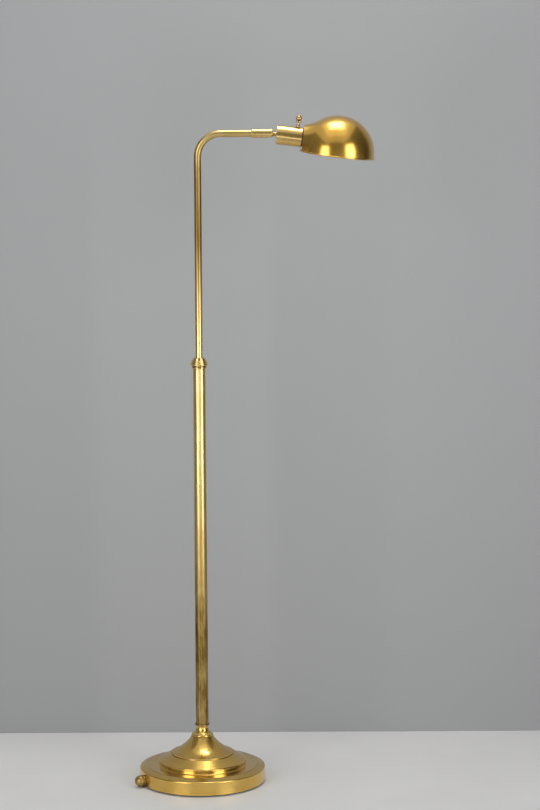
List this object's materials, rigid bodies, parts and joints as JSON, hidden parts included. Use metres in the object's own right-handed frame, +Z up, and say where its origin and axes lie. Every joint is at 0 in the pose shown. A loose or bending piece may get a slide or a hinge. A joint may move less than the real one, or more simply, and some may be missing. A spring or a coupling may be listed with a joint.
{
  "type": "reading floor lamp",
  "caption": "Brass reading floor lamp: stepped weighted base, telescoping stem, bent arm that swings, and a half-round metal shade that turns and tilts on a slotted ball swivel.",
  "frame": {"origin": "on the floor, on the centre line of the stem", "axes": "+Z up along the stem, +X along the arm towards the shade, -Y towards the viewer of the picture"},
  "size_m": [0.4847, 0.254, 1.3472],
  "materials": {
    "polished_brass": "polished, lightly aged",
    "dark_brass": "aged, dark in its hollows",
    "plain_brass": "as turned",
    "cast_iron": "rough cast",
    "steel": "zinc plated",
    "felt": "pressed felt",
    "fibre": "vulcanised fibre",
    "phenolic": "moulded, satin",
    "cap_metal": "rolled thread cap",
    "opal_glass": "white opal"
  },
  "bodies": {
    "base": {"base_felt": "felt", "base_weight": "cast_iron", "base_cover": "polished_brass", "base_washer": "steel", "base_nut": "steel", "stem_nipple": "steel", "neck_ring": "dark_brass", "stem_plug": "steel", "stem_tube": "polished_brass", "stem_collar": "polished_brass", "collar_bushing": "fibre", "cord_elbow": "polished_brass", "elbow_nut": "plain_brass", "cord_bushing": "phenolic"},
    "glide": {"guide_sleeve": "fibre"},
    "arm": {"guide_stop": "steel", "guide_clip": "steel", "arm_tube": "polished_brass", "swivel_ring": "polished_brass", "swivel_screw": "steel"},
    "swivel": {"swivel_housing": "polished_brass", "swivel_plug": "steel", "friction_washer": "fibre", "ball_spring": "steel", "ball_cup": "fibre"},
    "head": {"swivel_ball": "polished_brass", "socket_sleeve": "polished_brass", "socket_nut": "steel", "socket_body": "phenolic", "screw_shell": "plain_brass", "centre_contact": "plain_brass", "terminal_screws": "steel", "shade": "polished_brass", "shade_ring": "plain_brass", "bulb_cap": "cap_metal", "bulb_glass": "opal_glass"},
    "switch": {"switch_shaft": "steel", "switch_knob": "polished_brass"}
  },
  "joints": [
    {"name": "stem_slide", "type": "slide", "parent": "base", "child": "glide", "axis": [0, 0, 1], "range_m": [-0.38, 0.06]},
    {"name": "arm_swing", "type": "hinge", "parent": "glide", "child": "arm", "pos_m": [0, 0, 1.3106], "axis": [0, 0, 1], "continuous": true},
    {"name": "head_turn", "type": "hinge", "parent": "arm", "child": "swivel", "pos_m": [0.1178, 0, 1.3106], "axis": [1, 0, 0], "range_deg": [-170, 170]},
    {"name": "head_tilt", "type": "hinge", "parent": "swivel", "child": "head", "pos_m": [0.1371, 0, 1.3106], "axis": [0, 1, 0], "range_deg": [-7.5, 62.5]},
    {"name": "switch_turn", "type": "hinge", "parent": "head", "child": "switch", "pos_m": [0.19555, 0, 1.30332], "axis": [0.1236, 0, 0.9923], "continuous": true}
  ]
}
